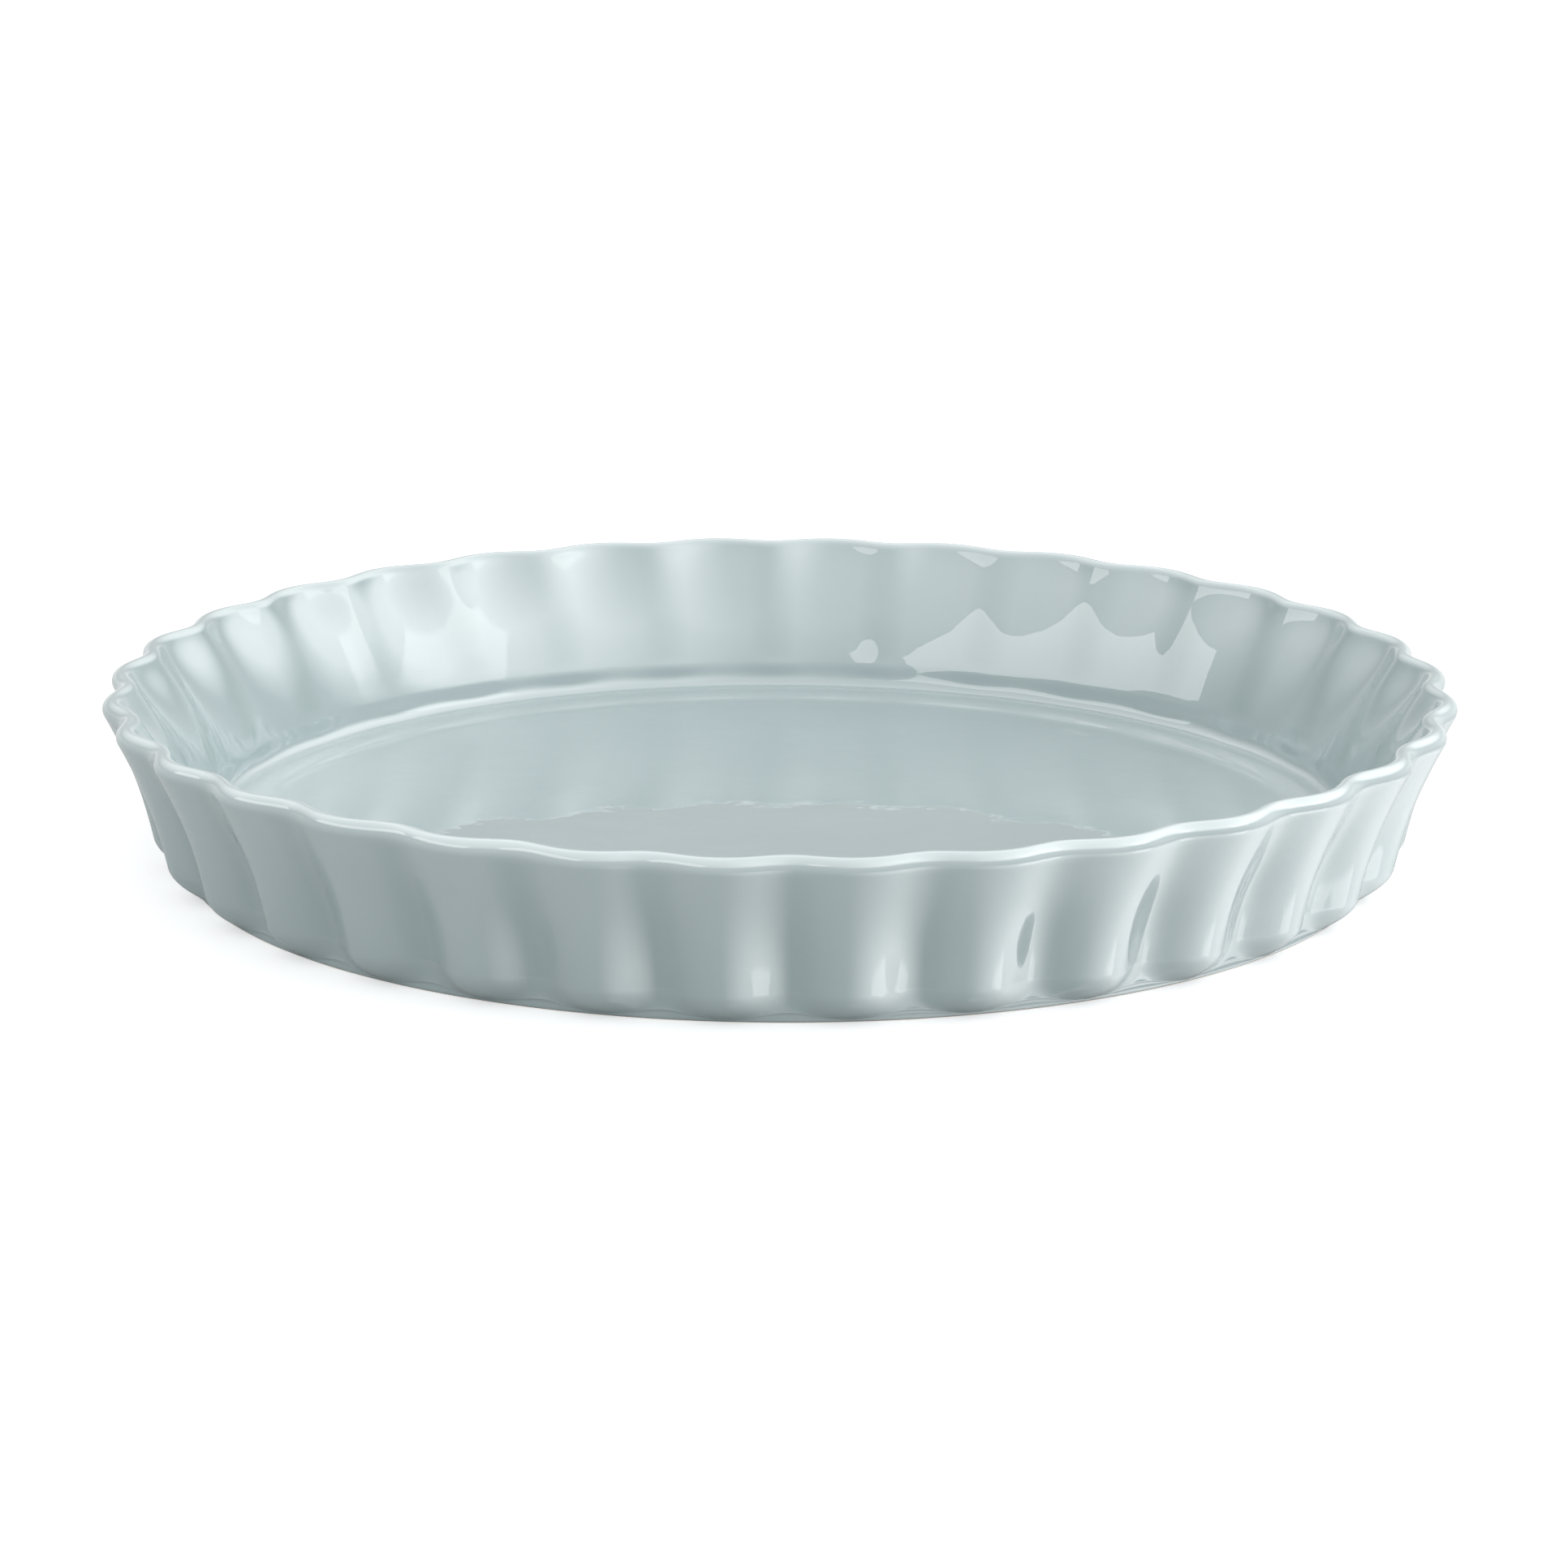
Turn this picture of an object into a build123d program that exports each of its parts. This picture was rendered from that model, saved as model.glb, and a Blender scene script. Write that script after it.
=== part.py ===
from build123d import *
import os
from math import cos, pi, radians, sin

# Round fluted pie dish, one piece of glazed stoneware.
# Millimetres, +Z up. The origin is at the centre of the dish on the table, and
# one crest of the fluted wall points along +X. The wall is drawn in upright
# planes through the dish's axis: one outline shapes the crest of a flute, another
# the valley beside it, and the outlines between them swing from one to the other.

# Overall form
dish_height = 40.0
rim_diameter = 305.0  # over the crests of the lip
wall_reach = 18.1  # how far the rim stands out past the foot ring
flute_count = 32

# Outside of the fluted wall
flute_depth = 3.0  # crest to valley at the lip
belly_height = 7.7  # where the wall has turned up from the foot ring
belly_overhang = 7.3  # how far a crest stands out past the foot ring there
crest_belly_lean = 13.0  # degrees outwards
valley_belly_lean = 6.0
hem_overhang = 0.6  # how far the lower edge of the wall stands out past the foot ring
crest_hem_height = 0.9  # height at which a crest leaves the foot ring
valley_hem_height = 2.4
crest_hem_lean = 61.0

# Lip
lip_thickness = 5.0
lip_lean = 27.0

# Inside of the wall, and the cove that turns it into the floor
cove_height = 13.2
cove_thickness = 3.5  # from the belly of a valley in to the top of the cove
cove_width = 3.8  # from there in to the ledge
cove_lean = 22.0
cove_flute_depth = 0.4  # crest to valley at the top of the cove, where the flutes fade

# Floor, with a narrow ledge and a shallow step round it
floor_height = 6.0
ledge_rise = 1.5  # above the floor
ledge_width = 1.0
step_width = 9.0  # from the ledge to where the step is buried in the floor
step_sink = 1.2

# Foot ring
foot_rise = 1.5  # the underside of the floor stands this far off the table
foot_width = 6.5
foot_edge_round = 0.8
hem_sink = 2.0  # how far the wall runs into the ring

# Handles of the curves, as shares of the distance that they span
turn_handle_share = 0.33
wall_handle_share = 0.4
inner_lip_handle_share = 0.2
inner_cove_handle_share = 0.6
cove_handle_share = 0.45
round_handle_share = 0.5523  # of the radius, for a quarter of a circle

# Sections through one flute and its neighbours, and how wide its crest is
sections_per_flute = 8
sections_each_side = 6
crest_width_share = 0.075

rim_radius = rim_diameter / 2
foot_radius = rim_radius - wall_reach
lip_radius = lip_thickness / 2
cove_radius = foot_radius + hem_overhang - cove_thickness  # in a valley
ledge_radius = cove_radius - cove_width
flute_pitch = 360 / flute_count


def between(low, high, share):
    """The value at a share of the way from low to high."""
    return low + (high - low) * share


def leaning(lean):
    """Upward direction that leans outwards by an angle in degrees."""
    return Vector(sin(radians(lean)), cos(radians(lean)))


def curve(start, start_way, end, end_way, start_share, end_share=None):
    """Curve that leaves its start one way and reaches its end another way."""
    span = (end - start).length
    start_handle = start_way * span * start_share
    end_handle = end_way * span * (end_share or start_share)
    Bezier(start, start + start_handle, end - end_handle, end)


def crest_share(turns):
    """1 on a crest, 0 in a valley, for a place that many flutes away from a crest."""
    wave = 2 * pi * turns
    return (1 + cos(wave)) / 2 + crest_width_share * sin(wave) ** 2


def flute_section(turns):
    """Closed section through the wall, that many flutes away from a crest."""
    crest = crest_share(turns)

    hem = Vector(foot_radius + hem_overhang, between(valley_hem_height, crest_hem_height, crest))
    hem_way = leaning(crest_hem_lean * crest)
    buried_hem = Vector(foot_radius - hem_sink, hem.Y)
    buried_turn = Vector(buried_hem.X, between(foot_rise, floor_height, 0.5))
    belly = Vector(foot_radius + between(hem_overhang, belly_overhang, crest), belly_height)
    belly_way = leaning(between(valley_belly_lean, crest_belly_lean, crest))

    lip_middle = Vector(rim_radius - lip_radius - flute_depth * (1 - crest), dish_height - lip_radius)
    lip_way = leaning(lip_lean)
    lip_up = lip_way * lip_radius
    lip_out = Vector(lip_up.Y, -lip_up.X)
    outer_lip = lip_middle + lip_out
    top = lip_middle + lip_up
    inner_lip = lip_middle - lip_out

    cove = Vector(cove_radius + cove_flute_depth * crest, cove_height)
    cove_way = leaning(cove_lean)
    ledge = Vector(ledge_radius, floor_height + ledge_rise)
    step = ledge - Vector(ledge_width, 0)
    buried_step = step - Vector(step_width, ledge_rise + step_sink)
    buried_corner = Vector(buried_step.X, buried_turn.Y)
    inwards = Vector(-1, 0)

    with BuildSketch(Plane.XZ.rotated((0, 0, turns * flute_pitch))) as section:
        with BuildLine():
            curve(hem, hem_way, belly, belly_way, turn_handle_share)
            curve(belly, belly_way, outer_lip, lip_way, wall_handle_share)
            Bezier(
                outer_lip,
                outer_lip + lip_up * round_handle_share,
                top + lip_out * round_handle_share,
                top,
            )
            Bezier(
                top,
                top - lip_out * round_handle_share,
                inner_lip + lip_up * round_handle_share,
                inner_lip,
            )
            curve(
                inner_lip,
                -lip_way,
                cove,
                -cove_way,
                inner_lip_handle_share,
                inner_cove_handle_share,
            )
            curve(cove, -cove_way, ledge, inwards, cove_handle_share)
            Line(ledge, step)
            Bezier(step, step + inwards * (step_width / 2), buried_step)
            Polyline(buried_step, buried_corner, buried_turn, buried_hem, hem)
        make_face()
    return section.sketch


# One flute, drawn past the valleys beside it and cut back to them, so that the
# wall runs smoothly from each flute into the next
with BuildPart() as flute:
    steps = range(-sections_each_side, sections_each_side + 1)
    loft([flute_section(step / sections_per_flute) for step in steps])
    for turns, kept in ((0.5, Keep.TOP), (-0.5, Keep.BOTTOM)):
        split(bisect_by=Plane.XZ.rotated((0, 0, turns * flute_pitch)), keep=kept)

# The dish: the flutes side by side, with the floor disc and the foot ring
with BuildPart() as dish:
    with PolarLocations(0, flute_count):
        add(flute.part)
    with BuildSketch(Plane.XZ):
        with BuildLine():
            foot_inside = foot_radius - foot_width
            foot_side = (foot_radius, foot_edge_round)
            foot_face = (foot_radius - foot_edge_round, 0)
            Polyline(
                foot_face,
                (foot_inside, 0),
                (foot_inside, foot_rise),
                (0, foot_rise),
                (0, floor_height),
                (foot_radius, floor_height),
                foot_side,
            )
            RadiusArc(foot_side, foot_face, foot_edge_round)
        make_face()
    revolve(axis=Axis.Z)

dish.part.label = "dish"

os.makedirs("parts", exist_ok=True)
export_step(dish.part, "parts/dish.step")
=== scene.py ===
from math import cos, pi, radians, sin, tan, tau

import bpy
from mathutils import Matrix, Vector


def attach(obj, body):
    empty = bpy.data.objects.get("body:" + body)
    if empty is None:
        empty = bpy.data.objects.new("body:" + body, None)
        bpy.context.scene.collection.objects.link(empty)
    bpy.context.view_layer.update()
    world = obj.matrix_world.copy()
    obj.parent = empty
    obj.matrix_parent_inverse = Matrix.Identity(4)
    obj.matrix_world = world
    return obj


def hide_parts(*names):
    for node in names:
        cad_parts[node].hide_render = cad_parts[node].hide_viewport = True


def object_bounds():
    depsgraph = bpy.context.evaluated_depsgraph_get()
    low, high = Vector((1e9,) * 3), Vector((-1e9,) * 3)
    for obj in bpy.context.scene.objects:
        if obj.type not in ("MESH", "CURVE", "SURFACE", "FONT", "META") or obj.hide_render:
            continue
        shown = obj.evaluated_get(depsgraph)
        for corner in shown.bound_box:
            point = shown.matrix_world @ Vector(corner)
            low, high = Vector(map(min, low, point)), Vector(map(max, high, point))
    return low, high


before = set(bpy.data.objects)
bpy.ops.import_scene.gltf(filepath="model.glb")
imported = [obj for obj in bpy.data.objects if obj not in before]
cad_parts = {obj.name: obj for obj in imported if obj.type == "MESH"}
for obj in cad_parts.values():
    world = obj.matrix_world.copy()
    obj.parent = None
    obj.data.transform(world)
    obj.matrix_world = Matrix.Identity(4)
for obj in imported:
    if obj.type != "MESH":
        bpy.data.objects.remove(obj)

cadLow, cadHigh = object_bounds()
scene = bpy.context.scene
mm = 0.001


# Camera, placed by fitting the outlines of rim, flutes and foot to the photograph

camera = {
    "image": 1932,                   # pixels each way
    "sensor": 36,                    # mm across
    "lens": 158.17,
    "distance": 1565.7 * mm,
    "elevation": 15.267,             # degrees
    "azimuth": 4.85,                 # turned this far past the view along +Y
    "roll": 0.221,
    "axisPixel": (960.3, 1052.05),   # where the optical axis meets the picture
    "clip": (0.01, 50),
}


def makeCamera(facts):
    data = bpy.data.cameras.new("camera")
    data.lens = facts["lens"]
    data.sensor_width = facts["sensor"]
    half = facts["image"] / 2
    data.shift_x = (half - facts["axisPixel"][0]) / facts["image"]
    data.shift_y = (facts["axisPixel"][1] - half) / facts["image"]
    data.clip_start, data.clip_end = facts["clip"]
    turn, rise = radians(facts["azimuth"]), radians(facts["elevation"])
    back = Vector((sin(turn) * cos(rise), -cos(turn) * cos(rise), sin(rise)))
    aim = (-back).to_track_quat("-Z", "Y").to_matrix().to_4x4()
    roll = Matrix.Rotation(radians(facts["roll"]), 4, "Z")
    thing = bpy.data.objects.new("camera", data)
    thing.matrix_world = Matrix.Translation(back * facts["distance"]) @ aim @ roll
    scene.collection.objects.link(thing)
    scene.camera = thing
    print("camera at", [round(v, 4) for v in thing.matrix_world.translation])


makeCamera(camera)


# Small helpers for node trees

def connect(tree, socket, value):        # a link where the value is a socket
    if isinstance(value, bpy.types.NodeSocket):
        tree.links.new(value, socket)
    elif value is not None:
        socket.default_value = value


def addNode(tree, kind, inputs=None, **settings):
    node = tree.nodes.new(kind)
    for name, value in settings.items():
        setattr(node, name, value)
    for key, value in (inputs or {}).items():
        connect(tree, node.inputs[key], value)
    return node


def compute(tree, operation, *values):
    node = addNode(tree, "ShaderNodeMath", operation=operation)
    for socket, value in zip(node.inputs, values):
        connect(tree, socket, value)
    return node.outputs[0]


def vectorMath(tree, operation, first, second=None):
    return addNode(tree, "ShaderNodeVectorMath", {0: first, 1: second}, operation=operation)


def blend(tree, share, low, high):       # numbers, low at 0 and high at 1
    inputs = {0: share, 2: low, 3: high}
    return addNode(tree, "ShaderNodeMix", inputs, data_type="FLOAT").outputs[0]


def blendColours(tree, share, low, high):
    node = addNode(tree, "ShaderNodeMix", data_type="RGBA")
    for place, value in ((0, share), (6, low), (7, high)):
        connect(tree, node.inputs[place], value)
    return node.outputs[2]


def remap(tree, value, fromLow, fromHigh, toLow=0.0, toHigh=1.0):
    node = addNode(tree, "ShaderNodeMapRange", clamp=True)
    for socket, item in zip(node.inputs, (value, fromLow, fromHigh, toLow, toHigh)):
        connect(tree, socket, item)
    return node.outputs[0]


def addSockets(tree, direction, sockets):
    for name, kind, value in sockets:
        socket = tree.interface.new_socket(
            name, in_out=direction, socket_type="NodeSocket" + kind)
        if value is not None:
            socket.default_value = value


def linear(red, green, blue):            # a screen colour, 0 to 255, as Blender wants it
    shares = [v / 255 for v in (red, green, blue)]
    return tuple(
        v / 12.92 if v <= 0.04045 else ((v + 0.055) / 1.055) ** 2.4 for v in shares) + (1.0,)


# Outline of the dish, as one list of points down a crest and one down the valley beside it.
# A pair of values is for the valley and for the crest.

dish = {
    "rimRadius": cadHigh.x,
    "height": cadHigh.z,
    "wallReach": 18.1 * mm,          # from the foot ring out to the rim
    "flutes": 32,
    "fluteDepth": 3.0 * mm,          # at the lip
    "crestWidth": 0.075,             # how much fuller a crest is than a plain wave
    "bellyHeight": 7.7 * mm,         # where the wall has turned up from the foot ring
    "bellyOverhang": 7.3 * mm,       # how far a crest stands out past the foot ring there
    "bellyLean": (10, 13),           # degrees outwards
    "pooledGlaze": 1.1 * mm,         # how far glaze fills the valleys outside
    "hemOverhang": 0.6 * mm,
    "hemHeight": (2.4 * mm, 0.9 * mm),
    "hemLean": (0, 61),
    "lipThickness": 5.0 * mm,
    "lipLean": 27,
    "coveHeight": 13.2 * mm,
    "coveThickness": 3.5 * mm,
    "coveWidth": 3.8 * mm,
    "coveLean": 22,
    "coveFluteDepth": 0.4 * mm,      # inside, the flutes fade into the cove
    "floorHeight": 6.0 * mm,
    "ledgeRise": 1.5 * mm,
    "ledgeWidth": 1.0 * mm,
    "stepWidth": 9.0 * mm,           # as far as it is drawn, down into the floor
    "stepSink": 1.2 * mm,
    "footRise": 1.5 * mm,
    "footWidth": 6.5 * mm,
    "footRound": 0.8 * mm,
    "glazeRound": 0.3 * mm,          # how glaze softens the corners
    "hemRoundLeast": 0.05 * mm,
    "hemRoundShare": 0.45,           # of the gap between the hem and the round of the foot
    "nookRound": (0.2, 0.05),        # mm out and down, where the hem meets the foot ring
    "floorRound": 1.6 * mm,          # where the step runs out on the floor
    "stepRound": 0.8,                # the round ends at this share of the way down the step

    # Handles of the curves, as shares of the distance that they span
    "coveHandle": 0.45,
    "innerHandles": (0.6, 0.2),      # at the cove and at the lip
    "outerHandle": 0.4,
    "turnHandle": 0.33,

    # How fine the outline is
    "floorPlaces": (0, 0.08, 0.18, 0.3, 0.42, 0.54, 0.66, 0.77, 0.86, 0.93, 0.97),
    "stepPlaces": (0.64, 0.48, 0.33, 0.2, 0.1, 0),
    "recessPlaces": (0.93, 0.78, 0.55, 0.3, 0),
    "coveSteps": 12,
    "innerSteps": 22,
    "lipSteps": 16,
    "outerSteps": 26,
    "turnSteps": 12,
    "floorSteps": 5,
    "hemSteps": 4,
    "nookSteps": 2,
    "footSteps": 4,
    "recessSteps": 3,
    "footSide": 0.4,                 # height of the point above the foot's round, as a share
    "footBevel": 0.3,                # of the glaze's round, at the ring's inner edge
    "columnsPerFlute": 20,
    "seamGap": 0.01 * mm,            # places closer than this are one

    # How far the hand of the maker shows, and where the glaze is paler from thin glaze and painted
    # highlight, as shares
    "waver": 0.22 * mm,
    "waverScale": 42.0,
    "seed": 7.3,
    "floorWaver": 0.25,
    "stepFootWaver": 0.3,
    "stepWaver": 0.4,
    "coveWaver": 0.6,
    "wallWaver": 1.0,
    "lipWaver": 0.7,
    "turnWaver": 0.7,
    "thinStep": 0.12,
    # the hem's edge, paler from thin glaze and a painted highlight line
    "hemThinGlazeAndHighlight": 1.0,
    "lipThinGlazeAndHighlightFade": 1.6,              # how fast the thin glaze and painted highlight fade down the lip's sides
}


def mix(low, high, share):
    return low + (high - low) * share


def leaning(lean):
    return Vector((sin(radians(lean)), cos(radians(lean))))


def bezier(poles, steps, skip=1):
    found = []
    for step in range(skip, steps + 1):
        t = step / steps
        weights = ((1 - t) ** 3, 3 * t * (1 - t) ** 2, 3 * t * t * (1 - t), t ** 3)
        found.append(sum((pole * weight for pole, weight in zip(poles, weights)), Vector((0, 0))))
    return found


def sweep(start, startWay, end, endWay, startShare, endShare, steps):
    span = (end - start).length
    handles = start + startWay * span * startShare, end - endWay * span * endShare
    return bezier((start, *handles, end), steps)


def corner(start, middle, end, steps):   # a soft corner, from start to end
    reach = 0.6                          # of the way from each end to the sharp corner
    return bezier((start, start.lerp(middle, reach), end.lerp(middle, reach), end), steps, skip=0)


def outline(d, crest):
    foot = d["rimRadius"] - d["wallReach"]
    up, outwards = Vector((0, 1)), Vector((1, 0))
    soft = d["glazeRound"]

    # Stretches of the outline: points, share of waver, share of thin glaze and painted highlight,
    # bare clay or not
    stretches = []

    def stretch(points, waver=0.0, thinAndHighlight=0.0, bare=0.0):
        stretches.append((points, waver, thinAndHighlight, bare))

    # Floor, and the step up from it to the ledge
    floorZ = d["floorHeight"]
    coveBase = foot + d["hemOverhang"] - d["coveThickness"]
    ledge = Vector((coveBase - d["coveWidth"], floorZ + d["ledgeRise"]))
    stepTop = ledge - outwards * d["ledgeWidth"]
    stepDrop = d["ledgeRise"] + d["stepSink"]

    def stepPlace(share):                # down the step, from its top
        return stepTop - Vector((d["stepWidth"] * share, stepDrop * share * share))

    atFloor = (d["ledgeRise"] / stepDrop) ** 0.5
    stepFoot = stepPlace(atFloor)
    floorEdge = stepFoot.x - d["floorRound"]
    floorEnd, stepStart = Vector((floorEdge, floorZ)), stepPlace(atFloor * d["stepRound"])
    stretch([Vector((floorEdge * share, floorZ)) for share in d["floorPlaces"]], d["floorWaver"])
    stretch(corner(floorEnd, stepFoot, stepStart, d["floorSteps"]), d["stepFootWaver"])
    steps = [stepPlace(atFloor * share) for share in d["stepPlaces"]]
    stretch(steps, d["stepWaver"], d["thinStep"])
    stretch([stepTop.lerp(ledge, 0.5), ledge], d["stepWaver"], d["thinStep"])

    # Cove, and the inside of the wall
    cove = Vector((coveBase + d["coveFluteDepth"] * crest, d["coveHeight"]))
    coveWay, lipWay = leaning(d["coveLean"]), leaning(d["lipLean"])
    coveHandle = d["coveHandle"]
    coveTurn = sweep(ledge, outwards, cove, coveWay, coveHandle, coveHandle, d["coveSteps"])
    stretch(coveTurn, d["coveWaver"])
    lipRadius = d["lipThickness"] / 2
    lipMiddle = Vector((
        d["rimRadius"] - lipRadius - d["fluteDepth"] * (1 - crest),
        d["height"] - lipRadius,
    ))
    lipUp = lipWay * lipRadius
    lipOut = Vector((lipUp.y, -lipUp.x))
    innerLip, outerLip = lipMiddle - lipOut, lipMiddle + lipOut
    inside = sweep(cove, coveWay, innerLip, lipWay, *d["innerHandles"], d["innerSteps"])
    stretch(inside, d["wallWaver"])

    # Round lip, paler towards its top from thin glaze and a painted highlight
    for turn in range(1, d["lipSteps"] + 1):
        angle = pi * turn / d["lipSteps"]
        point = lipMiddle - lipOut * cos(angle) + lipUp * sin(angle)
        stretch([point], d["lipWaver"], max(0.0, sin(angle)) ** d["lipThinGlazeAndHighlightFade"])

    # Outside of the wall, and its turn at the belly down to the hem
    bellyOut = mix(d["hemOverhang"] + d["pooledGlaze"], d["bellyOverhang"], crest)
    belly = Vector((foot + bellyOut, d["bellyHeight"]))
    bellyWay = leaning(mix(*d["bellyLean"], crest))
    hem = Vector((foot + d["hemOverhang"], mix(*d["hemHeight"], crest)))
    hemWay = leaning(mix(*d["hemLean"], crest))
    outer, turned = d["outerHandle"], d["turnHandle"]
    outside = sweep(outerLip, -lipWay, belly, -bellyWay, outer, outer, d["outerSteps"])
    stretch(outside, d["wallWaver"])
    hemTurn = sweep(belly, -bellyWay, hem, -hemWay, turned, turned, d["turnSteps"])
    stretch(hemTurn[:-1], d["turnWaver"])

    # Hem, and the nook between it and the foot ring. The hem's soft edge is paler: thin glaze and
    # a painted highlight line
    hemSoft = min(soft, (hem.y - d["footRound"]) * d["hemRoundShare"] + d["hemRoundLeast"])
    edge = corner(hem + hemWay * hemSoft, hem, hem - outwards * hemSoft, d["hemSteps"])
    stretch(edge[:1])
    # Paler along the hem's edge: thin glaze and a painted highlight line
    stretch(edge[1:-1], 0.0, d["hemThinGlazeAndHighlight"])
    stretch(edge[-1:])
    nook = Vector((foot, hem.y))
    nookOut, nookDown = d["nookRound"]
    nookStart, nookEnd = nook + outwards * nookOut * mm, nook - up * nookDown * mm
    stretch(corner(nookStart, nook, nookEnd, d["nookSteps"]))

    # Foot ring, bare where it stands on the table, and the recess inside it
    footTop = Vector((foot, d["footRound"]))
    stretch([footTop.lerp(nook, d["footSide"])])
    for turn in range(d["footSteps"] + 1):
        angle = pi / 2 * turn / d["footSteps"]
        roundWay = Vector((cos(angle) - 1, -sin(angle)))
        stretch([footTop + d["footRound"] * roundWay], bare=turn > 1)
    footInside = foot - d["footWidth"]
    bevel = soft * d["footBevel"]
    recess = Vector((footInside, d["footRise"]))
    stretch([
        Vector((footInside + soft, 0)),
        Vector((footInside + bevel, bevel)),
        Vector((footInside, soft)),
        recess - up * soft,
    ], bare=1.0)
    recessEnd = recess - outwards * soft * 2
    stretch(corner(recess - up * soft, recess, recessEnd, d["recessSteps"])[1:])
    stretch([Vector((footInside * share, d["footRise"])) for share in d["recessPlaces"]])
    return stretches


def makeOutline(d):
    valley, crest = outline(d, 0), outline(d, 1)
    places, partners, wavers, thinAndHighlightShares, bares = [], [], [], [], []
    for (low, waver, thinAndHighlight, bare), (high, *_) in zip(valley, crest):
        for lowPoint, highPoint in zip(low, high):
            places.append((highPoint.x, 0, highPoint.y))
            partners.append((lowPoint.x, 0, lowPoint.y))
            wavers.append(waver)
            thinAndHighlightShares.append(thinAndHighlight)
            bares.append(float(bare))
    mesh = bpy.data.meshes.new("dishOutline")
    mesh.from_pydata(places, [(i, i + 1) for i in range(len(places) - 1)], [])
    mesh.attributes.new("valleyPlace", "FLOAT_VECTOR", "POINT").data.foreach_set(
        "vector", [v for place in partners for v in place])
    for name, values in (("waver", wavers), ("thinGlazeAndHighlight", thinAndHighlightShares), ("bareClay", bares)):
        mesh.attributes.new(name, "FLOAT", "POINT").data.foreach_set("value", values)
    print("outline of", len(places), "points")
    return mesh


# The rule of the dish as Geometry Nodes: the outline swings from crest to valley round the axis

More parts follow.
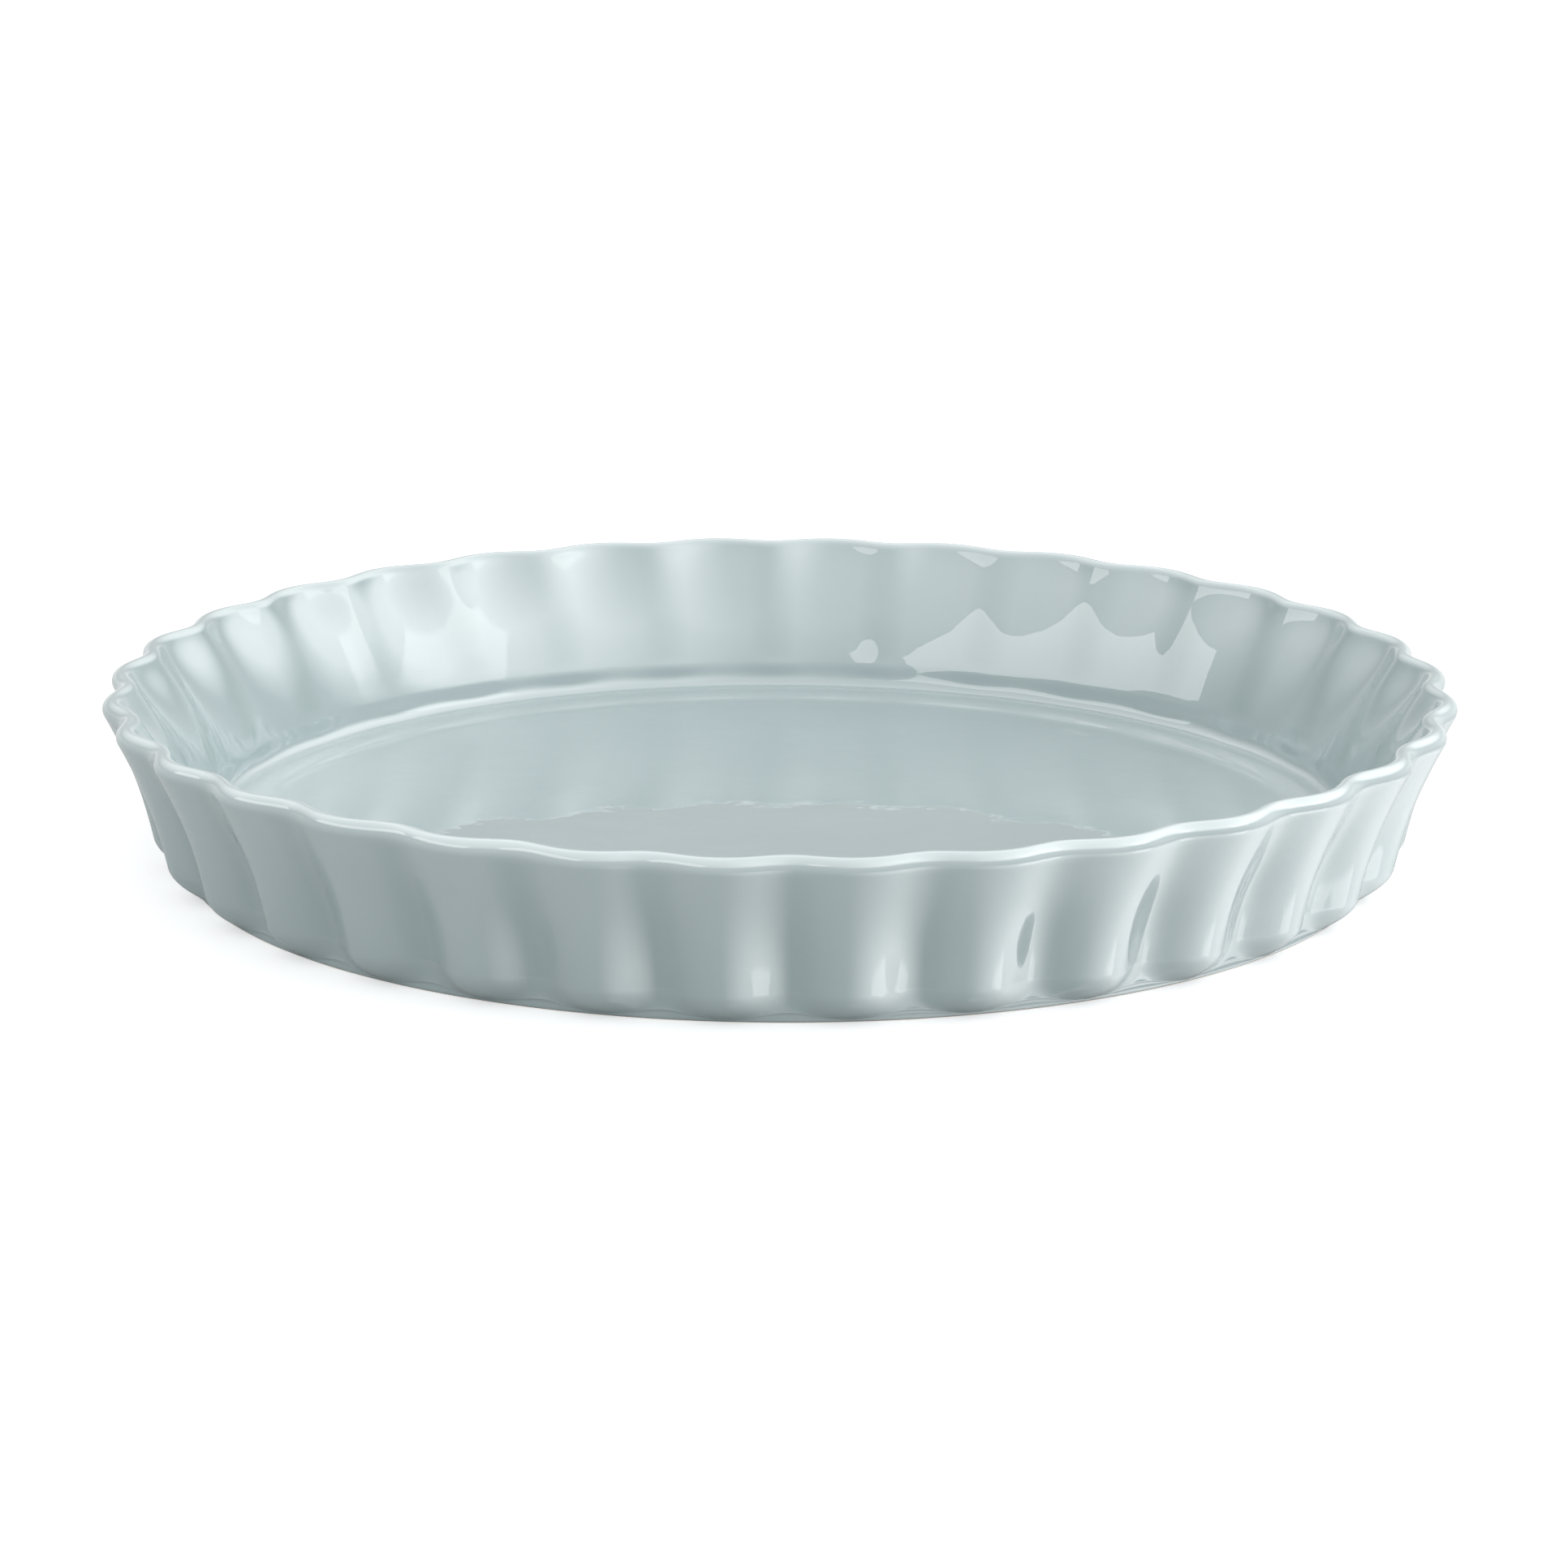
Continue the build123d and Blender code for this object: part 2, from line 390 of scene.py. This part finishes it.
def makeFlutedShell():
    tree = bpy.data.node_groups.new("flutedShell", "GeometryNodeTree")
    addSockets(tree, "INPUT", (
        ("Geometry", "Geometry", None),
        ("Flutes", "Int", 32),
        ("Columns per flute", "Int", 20),
        ("Crest width", "Float", 0.075),
        ("Waver", "Float", 0.0001),
        ("Waver scale", "Float", 40.0),
        ("Seed", "Float", 0.0),
        ("Seam gap", "Float", 0.00001),
        ("Glaze", "Material", None),
        ("Clay", "Material", None),
    ))
    addSockets(tree, "OUTPUT", (("Geometry", "Geometry", None),))
    given = addNode(tree, "NodeGroupInput").outputs
    line = given["Geometry"]

    # A grid with one column for each step round the dish and one row for each outline point
    size = addNode(tree, "GeometryNodeAttributeDomainSize", {"Geometry": line}, component="MESH")
    rows = size.outputs["Point Count"]
    columns = compute(tree, "MULTIPLY", given["Flutes"], given["Columns per flute"])
    grid = addNode(tree, "GeometryNodeMeshGrid", {
        "Size X": 1.0,
        "Size Y": 1.0,
        "Vertices X": compute(tree, "ADD", columns, 1.0),
        "Vertices Y": rows,
    })
    index = addNode(tree, "GeometryNodeInputIndex").outputs[0]
    row = compute(tree, "FLOORED_MODULO", index, rows)
    middle = compute(tree, "ADD", index, 0.5)
    column = compute(tree, "FLOOR", compute(tree, "DIVIDE", middle, rows))
    uvMap = addNode(tree, "GeometryNodeStoreNamedAttribute", {
        "Geometry": grid.outputs["Mesh"],
        "Name": "UVMap",
        "Value": grid.outputs["UV Map"],
    }, data_type="FLOAT2", domain="CORNER")

    def readRow(kind, value):
        node = addNode(tree, "GeometryNodeSampleIndex", data_type=kind, domain="POINT")
        for name, item in (("Geometry", line), ("Value", value), ("Index", row)):
            connect(tree, node.inputs[name], item)
        return node.outputs[0]

    def named(kind, name):
        node = addNode(
            tree, "GeometryNodeInputNamedAttribute", {"Name": name}, data_type=kind)
        return node.outputs[0]

    crestPlace = readRow("FLOAT_VECTOR", addNode(tree, "GeometryNodeInputPosition").outputs[0])
    valleyPlace = readRow("FLOAT_VECTOR", named("FLOAT_VECTOR", "valleyPlace"))
    kept = [(name, readRow("FLOAT", named("FLOAT", name)))
            for name in ("waver", "thinGlazeAndHighlight", "bareClay")]

    # How far a column is towards a crest
    turns = compute(tree, "DIVIDE", column, given["Columns per flute"])
    wave = compute(tree, "MULTIPLY", turns, tau)
    swing = compute(tree, "MULTIPLY_ADD", compute(tree, "COSINE", wave), 0.5, 0.5)
    widening = compute(tree, "POWER", compute(tree, "SINE", wave), 2.0)
    crestShare = compute(tree, "MULTIPLY_ADD", widening, given["Crest width"], swing)
    place = addNode(tree, "ShaderNodeMix", data_type="VECTOR", clamp_factor=False)
    for socket, value in ((0, crestShare), (4, valleyPlace), (5, crestPlace)):
        connect(tree, place.inputs[socket], value)
    turned = addNode(tree, "ShaderNodeVectorRotate", {
        "Vector": place.outputs[1],
        "Axis": (0, 0, 1),
        "Angle": compute(tree, "DIVIDE", compute(tree, "MULTIPLY", column, tau), columns),
    }, rotation_type="AXIS_ANGLE")
    shaped = addNode(tree, "GeometryNodeSetPosition", {
        "Geometry": uvMap.outputs[0],
        "Position": turned.outputs[0],
    })

    # What the materials need to know about each place
    stored = shaped.outputs[0]
    for name, value in (*kept, ("crestShare", crestShare)):
        stored = addNode(tree, "GeometryNodeStoreNamedAttribute", {
            "Geometry": stored,
            "Name": name,
            "Value": value,
        }, data_type="FLOAT", domain="POINT").outputs[0]

    # Faces outwards, and the seam and the two poles closed, before the surface may waver
    flipped = addNode(tree, "GeometryNodeFlipFaces", {"Mesh": stored})
    merged = addNode(tree, "GeometryNodeMergeByDistance", {
        "Geometry": flipped.outputs[0],
        "Distance": given["Seam gap"],
    })
    noise = addNode(tree, "ShaderNodeTexNoise", {
        "W": given["Seed"],
        "Scale": given["Waver scale"],
        "Detail": 1.5,
        "Roughness": 0.45,
    }, noise_dimensions="4D")
    here = compute(tree, "MULTIPLY", noise.outputs[0], named("FLOAT", "waver"))
    drop = compute(tree, "MULTIPLY", here, compute(tree, "MULTIPLY", given["Waver"], -1.0))
    inward = addNode(tree, "ShaderNodeVectorMath", operation="SCALE")
    connect(tree, inward.inputs[0], addNode(tree, "GeometryNodeInputNormal").outputs[0])
    connect(tree, inward.inputs["Scale"], drop)
    wavered = addNode(tree, "GeometryNodeSetPosition", {
        "Geometry": merged.outputs[0],
        "Offset": inward.outputs[0],
    })

    smooth = addNode(tree, "GeometryNodeSetShadeSmooth", {
        "Geometry": wavered.outputs[0],
        "Shade Smooth": True,
    })
    real = addNode(tree, "GeometryNodeRealizeInstances", {"Geometry": smooth.outputs[0]})
    glazed = addNode(tree, "GeometryNodeSetMaterial", {
        "Geometry": real.outputs[0],
        "Material": given["Glaze"],
    })
    mostlyBare = 0.75                    # only faces with nearly all their corners bare
    isBare = compute(tree, "GREATER_THAN", named("FLOAT", "bareClay"), mostlyBare)
    bared = addNode(tree, "GeometryNodeSetMaterial", {
        "Geometry": glazed.outputs[0],
        "Selection": isBare,
        "Material": given["Clay"],
    })
    addNode(tree, "NodeGroupOutput", {"Geometry": bared.outputs[0]})
    return tree


# Glaze and clay share one node group for their mottle, specks and fine relief

glazeLook = {
    "colour": linear(168, 182, 184),
    "thinGlazeAndHighlightColour": linear(194, 206, 207),     # thin glaze and painted highlight, on the lip and the hem
    "pooledColour": linear(159, 174, 175),   # in the valleys, and in faint clouds
    "valleyEnds": 0.5,                       # how far up a flute's side the pooled glaze reaches
    "ior": 1.6,
    "mottle": {
        "Speck colour": linear(140, 152, 150),
        "Cloud scale": 26.0,
        "Cloud amount": 0.35,
        "Speck scale": 45.0,
        "Speck size": 0.03,
        "Grain scale": 350.0,
        "Low roughness": 0.008,
        "High roughness": 0.022,
        "Ripple height": 0.00022,
        "Pit height": 0.00004,
    },
}
clayLook = {
    "ior": 1.45,
    "mottle": {
        "Colour": linear(206, 196, 178),
        "Dark colour": linear(178, 164, 142),
        "Speck colour": linear(178, 164, 142),
        "Cloud scale": 90.0,
        "Cloud amount": 0.7,
        "Speck scale": 420.0,
        "Speck size": 0.3,
        "Grain scale": 1500.0,
        "Low roughness": 0.7,
        "High roughness": 0.9,
        "Ripple height": 0.00006,
        "Pit height": 0.00008,
    },
}

cloudEdges = (0.35, 0.68)                    # noise values where a cloud begins and is full
speckFrom = 0.72                             # cells below this value hold no speck
speckCore = 0.6                              # share of a speck that is in its full colour


def makeMottle():
    tree = bpy.data.node_groups.new("firedMottle", "ShaderNodeTree")
    addSockets(tree, "INPUT", (
        ("Colour", "Color", (0.5, 0.5, 0.5, 1)),
        ("Dark colour", "Color", (0.4, 0.4, 0.4, 1)),
        ("Speck colour", "Color", (0.3, 0.3, 0.3, 1)),
        ("Cloud scale", "Float", 30.0),
        ("Cloud amount", "Float", 0.5),
        ("Speck scale", "Float", 220.0),
        ("Speck size", "Float", 0.1),
        ("Grain scale", "Float", 900.0),
        ("Low roughness", "Float", 0.05),
        ("High roughness", "Float", 0.1),
        ("Ripple height", "Float", 0.0),
        ("Pit height", "Float", 0.0),
    ))
    addSockets(tree, "OUTPUT", (
        ("Colour", "Color", None),
        ("Roughness", "Float", None),
        ("Height", "Float", None),
    ))
    given = addNode(tree, "NodeGroupInput").outputs
    place = addNode(tree, "ShaderNodeTexCoord").outputs["Object"]

    def cloudy(scale, detail):
        inputs = {"Vector": place, "Scale": scale, "Detail": detail}
        return addNode(tree, "ShaderNodeTexNoise", inputs).outputs[0]

    cloud = cloudy(given["Cloud scale"], 4.0)
    grain = cloudy(given["Grain scale"], 2.0)
    cloudMask = remap(tree, cloud, *cloudEdges)
    cloudShare = compute(tree, "MULTIPLY", cloudMask, given["Cloud amount"])
    clouded = blendColours(tree, cloudShare, given["Colour"], given["Dark colour"])

    # Only some cells hold a speck, and each speck has a size of its own
    speck = addNode(tree, "ShaderNodeTexVoronoi", {"Vector": place, "Scale": given["Speck scale"]})
    cell = addNode(tree, "ShaderNodeSeparateColor", {"Color": speck.outputs["Color"]}).outputs[0]
    reach = compute(tree, "MULTIPLY", given["Speck size"], remap(tree, cell, speckFrom, 1.0))
    core = compute(tree, "MULTIPLY", reach, speckCore)
    speckMask = remap(tree, speck.outputs["Distance"], core, reach, 1.0, 0.0)
    ripple = compute(tree, "MULTIPLY", cloud, given["Ripple height"])
    pit = compute(tree, "MULTIPLY", speckMask, given["Pit height"])
    addNode(tree, "NodeGroupOutput", {
        0: blendColours(tree, speckMask, clouded, given["Speck colour"]),
        1: blend(tree, grain, given["Low roughness"], given["High roughness"]),
        2: compute(tree, "SUBTRACT", ripple, pit),
    })
    return tree


mottle = makeMottle()


def makeMaterial(name, look):
    material = bpy.data.materials.new(name)
    material.use_nodes = True
    tree = material.node_tree
    shader = tree.nodes["Principled BSDF"]
    shader.inputs["IOR"].default_value = look["ior"]
    group = addNode(tree, "ShaderNodeGroup", node_tree=mottle)
    for key, value in look["mottle"].items():
        connect(tree, group.inputs[key], value)
    relief = {"Height": group.outputs["Height"], "Strength": 1.0, "Distance": 1.0}
    bump = addNode(tree, "ShaderNodeBump", relief)
    for source, key in (
        (group.outputs["Colour"], "Base Color"),
        (group.outputs["Roughness"], "Roughness"),
        (bump.outputs[0], "Normal"),
    ):
        tree.links.new(source, shader.inputs[key])
    print("material", name)
    return material, group


def makeGlaze(look):
    material, group = makeMaterial("celadonGlaze", look)
    tree = material.node_tree

    def stored(name):
        return addNode(tree, "ShaderNodeAttribute", attribute_name=name).outputs["Fac"]

    inValley = remap(tree, stored("crestShare"), 0.0, look["valleyEnds"], 1.0, 0.0)
    onWall = remap(tree, stored("waver"), dish["coveWaver"], dish["wallWaver"])
    valley = compute(tree, "MULTIPLY", inValley, onWall)
    pooled = blendColours(tree, valley, look["colour"], look["pooledColour"])
    # Paler where the glaze is thin and where a highlight is painted: on the lip, the hem and the
    # step
    colour = blendColours(tree, stored("thinGlazeAndHighlight"), pooled, look["thinGlazeAndHighlightColour"])
    connect(tree, group.inputs["Colour"], colour)
    connect(tree, group.inputs["Dark colour"], look["pooledColour"])
    return material


glaze = makeGlaze(glazeLook)
clay = makeMaterial("firedClay", clayLook)[0]


def makeDish(d):
    piece = bpy.data.objects.new("flutedDish", makeOutline(d))
    scene.collection.objects.link(piece)
    tree = makeFlutedShell()
    modifier = piece.modifiers.new("shell", "NODES")
    modifier.node_group = tree
    inputs = [item for item in tree.interface.items_tree if item.in_out == "INPUT"]
    keys = {item.name: item.identifier for item in inputs}
    for name, value in (
        ("Flutes", d["flutes"]),
        ("Columns per flute", d["columnsPerFlute"]),
        ("Crest width", d["crestWidth"]),
        ("Waver", d["waver"]),
        ("Waver scale", d["waverScale"]),
        ("Seed", d["seed"]),
        ("Seam gap", d["seamGap"]),
        ("Glaze", glaze),
        ("Clay", clay),
    ):
        modifier[keys[name]] = value
    depsgraph = bpy.context.evaluated_depsgraph_get()
    mesh = bpy.data.meshes.new_from_object(piece.evaluated_get(depsgraph))
    mesh.name = "flutedDish"
    piece.modifiers.remove(modifier)
    piece.data = mesh
    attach(piece, "root")
    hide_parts("dish")
    mesh.calc_loop_triangles()
    volume = 0
    for triangle in mesh.loop_triangles:     # positive when the faces point outwards
        first, second, third = (mesh.vertices[i].co for i in triangle.vertices)
        volume += first.dot(second.cross(third)) / 6
    print("dish of", len(mesh.loop_triangles), "triangles,", round(volume * 1e6, 2), "cm3")


makeDish(dish)


# What gloss sees of the studio: a dim room with a pale horizon, and on the right a wide glow
# with a hot middle. Angles are in degrees, heights run from 0 at the horizon to 1 overhead.

studio = {
    "horizon": (0.06, 0.22, 1.0, 0.55),      # heights from and to, and brightness there
    "overhead": (0.26, 0.66, 0.0, 2.2),      # the same, added towards the top
    "glow": 3.8,
    "glowAzimuth": -5,
    "glowSpread": 94,                        # each way
    "glowFade": 1.5,                         # how fast it fades to the sides
    "glowRise": (17, 28, 0.1, 1.0),          # elevations from and to, and its shares there
    "glowFall": (40, 76, 1.0, 0.22),
    "core": 1.7,
    "coreAzimuth": -8,
    "coreSpread": (13, 15),                  # full within the first, none past the second
    "coreRise": (19, 24, 37, 40),            # none, full, full, none
    "skyLight": (0.93, 1.04),                # what lights the dish, at the horizon and overhead
}
floorLook = {
    "size": 8.0,
    "colour": (0.75, 0.75, 0.75, 1),
    "roughness": 0.9,
    "cameraGlow": 0.5,                       # lifts the floor to white for the camera alone
    "sheen": 1.0,                            # share of the studio's glow that the floor glows with for gloss rays, a painted reflection
}
white = (1, 1, 1, 1)


def makeGlow(facts):
    tree = bpy.data.node_groups.new("studioGlow", "ShaderNodeTree")
    addSockets(tree, "INPUT", (("Way", "Vector", (0, 0, 1)),))
    addSockets(tree, "OUTPUT", (("Glow", "Float", None),))
    way = addNode(tree, "NodeGroupInput").outputs["Way"]
    height = addNode(tree, "ShaderNodeSeparateXYZ", {"Vector": way}).outputs["Z"]
    flat = vectorMath(tree, "MULTIPLY", way, (1, 1, 0)).outputs[0]
    unit = vectorMath(tree, "NORMALIZE", flat).outputs[0]

    def facing(azimuth):
        aim = (cos(radians(azimuth)), sin(radians(azimuth)), 0)
        return vectorMath(tree, "DOT_PRODUCT", unit, aim).outputs["Value"]

    edge = cos(radians(facts["glowSpread"]))
    across = remap(tree, facing(facts["glowAzimuth"]), edge, 1.0)
    faded = compute(tree, "POWER", across, facts["glowFade"])
    glow = compute(tree, "MULTIPLY", faded, facts["glow"])
    for low, high, lowShare, highShare in (facts["glowRise"], facts["glowFall"]):
        share = remap(tree, height, sin(radians(low)), sin(radians(high)), lowShare, highShare)
        glow = compute(tree, "MULTIPLY", glow, share)

    inner, outer = (cos(radians(v)) for v in facts["coreSpread"])
    sides = remap(tree, facing(facts["coreAzimuth"]), outer, inner)
    low, lowFull, highFull, high = (sin(radians(v)) for v in facts["coreRise"])
    below = remap(tree, height, low, lowFull)
    above = remap(tree, height, highFull, high, 1.0, 0.0)
    rise = compute(tree, "MULTIPLY", below, above)
    core = compute(tree, "MULTIPLY", compute(tree, "MULTIPLY", sides, rise), facts["core"])
    addNode(tree, "NodeGroupOutput", {0: compute(tree, "ADD", glow, core)})
    return tree


glowGroup = makeGlow(studio)


def addGlow(tree, way):
    return addNode(tree, "ShaderNodeGroup", {"Way": way}, node_tree=glowGroup).outputs[0]


def raySort(tree):                           # camera rays, and rays that gloss or glass sends on
    path = addNode(tree, "ShaderNodeLightPath").outputs
    mirrored = compute(tree, "MAXIMUM", path["Is Glossy Ray"], path["Is Transmission Ray"])
    return path["Is Camera Ray"], mirrored


# Floor, pale all round, with the dish's shadow kept

def makeFloor(facts):
    half = facts["size"] / 2
    mesh = bpy.data.meshes.new("floor")
    corners = [(-half, -half, 0), (half, -half, 0), (half, half, 0), (-half, half, 0)]
    mesh.from_pydata(corners, [], [(0, 1, 2, 3)])
    thing = bpy.data.objects.new("floor", mesh)
    scene.collection.objects.link(thing)
    material = bpy.data.materials.new("paleFloor")
    material.use_nodes = True
    tree = material.node_tree
    shader = tree.nodes["Principled BSDF"]
    shader.inputs["Base Color"].default_value = facts["colour"]
    shader.inputs["Roughness"].default_value = facts["roughness"]
    shader.inputs["Specular IOR Level"].default_value = 0.0
    shader.inputs["Emission Color"].default_value = white
    seen, mirrored = raySort(tree)

    # Painted reflection: for gloss rays the floor glows with the studio's glow, turned upside down
    back = addNode(tree, "ShaderNodeNewGeometry").outputs["Incoming"]
    onwards = vectorMath(tree, "MULTIPLY", back, (-1, -1, 1)).outputs[0]
    sheen = compute(tree, "MULTIPLY", addGlow(tree, onwards), facts["sheen"])
    forCamera = compute(tree, "MULTIPLY", seen, facts["cameraGlow"])
    strength = compute(tree, "MULTIPLY_ADD", mirrored, sheen, forCamera)
    tree.links.new(strength, shader.inputs["Emission Strength"])
    mesh.materials.append(material)
    print("floor", facts["size"], "m wide")


def makeWorld(facts):
    world = bpy.data.worlds.new("studio")
    world.use_nodes = True
    scene.world = world
    tree = world.node_tree
    background = tree.nodes["Background"]
    seen, mirrored = raySort(tree)
    way = addNode(tree, "ShaderNodeTexCoord").outputs["Generated"]
    height = addNode(tree, "ShaderNodeSeparateXYZ", {"Vector": way}).outputs["Z"]
    horizon = remap(tree, height, *facts["horizon"])
    room = compute(tree, "ADD", horizon, remap(tree, height, *facts["overhead"]))
    glowing = compute(tree, "ADD", room, addGlow(tree, way))
    sky = remap(tree, height, 0.0, 1.0, *facts["skyLight"])
    strength = blend(tree, mirrored, blend(tree, seen, sky, 1.0), glowing)
    tree.links.new(strength, background.inputs["Strength"])
    background.inputs["Color"].default_value = white
    print("world", world.name)


makeFloor(floorLook)
makeWorld(studio)


# A large soft box on the right lights the dish, and a window on the left shows in its glaze

lamps = {
    "softBox": {
        "azimuth": 8,
        "elevation": 33,
        "width": 84,                         # degrees across, seen from the dish
        "height": 46,
        "radiance": 0.8,
        "hiddenFrom": "visible_glossy",
    },
    "window": {
        "azimuth": -147.5,
        "elevation": 34,
        "width": 65,
        "height": 18.5,
        "radiance": 2.0,
        "hiddenFrom": "visible_diffuse",
    },
}
lampDistance = 1.4
plainPower = 4                               # watts on a square metre at a radiance of 1


def makeLamp(name, facts):
    turn, rise = radians(facts["azimuth"]), radians(facts["elevation"])
    way = Vector((cos(turn) * cos(rise), sin(turn) * cos(rise), sin(rise)))
    data = bpy.data.lights.new(name, "AREA")
    data.shape = "RECTANGLE"
    data.size = 2 * lampDistance * tan(radians(facts["width"] / 2))
    data.size_y = 2 * lampDistance * tan(radians(facts["height"] / 2))
    data.energy = facts["radiance"] * data.size * data.size_y * plainPower
    thing = bpy.data.objects.new(name, data)
    aim = way.to_track_quat("Z", "Y").to_matrix().to_4x4()
    thing.matrix_world = Matrix.Translation(way * lampDistance) @ aim
    setattr(thing, facts["hiddenFrom"], False)
    scene.collection.objects.link(thing)
    print("lamp", name, round(data.energy, 2), "W")


for name, facts in lamps.items():
    makeLamp(name, facts)

scene.view_settings.view_transform = "Standard"
